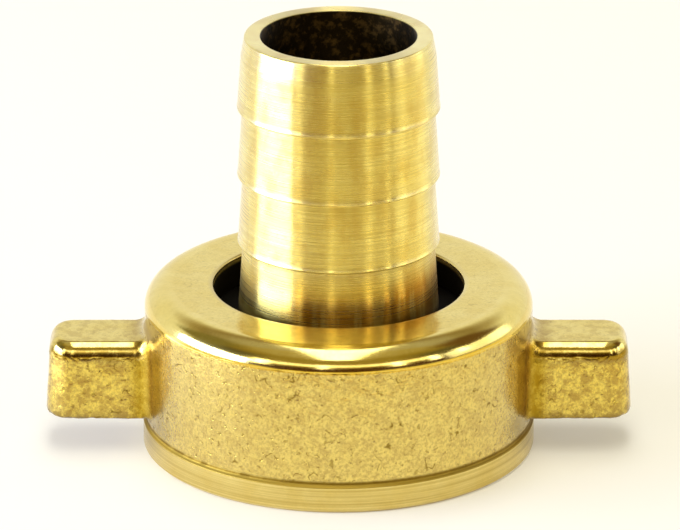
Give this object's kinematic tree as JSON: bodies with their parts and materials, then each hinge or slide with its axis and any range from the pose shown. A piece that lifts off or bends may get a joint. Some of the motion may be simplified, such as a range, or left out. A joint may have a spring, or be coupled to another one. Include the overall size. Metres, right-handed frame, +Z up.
{
  "type": "hose connector",
  "caption": "Brass swivel hose connector: a winged union nut with an inside pipe thread turns on a barbed hose tail, sealed by a flat rubber washer.",
  "frame": {"origin": "middle of the nut's open foot, on which the connector stands", "axes": "+Z up along the tail and its water way, X along the nut's two wings"},
  "size_m": [0.0612, 0.041, 0.0446],
  "materials": {
    "forged_brass": "forged skin with fine grain, polished edges",
    "turned_brass": "turned, with fine marks round it",
    "washer_rubber": "moulded black rubber, matt"
  },
  "bodies": {
    "nut": {"wing_nut": "forged_brass", "sealing_washer": "washer_rubber"},
    "tail": {"hose_tail": "turned_brass"}
  },
  "joints": [
    {"name": "tail_swivel", "type": "hinge", "parent": "nut", "child": "tail", "pos_m": [0, 0, 0.01245], "axis": [0, 0, 1], "continuous": true}
  ]
}
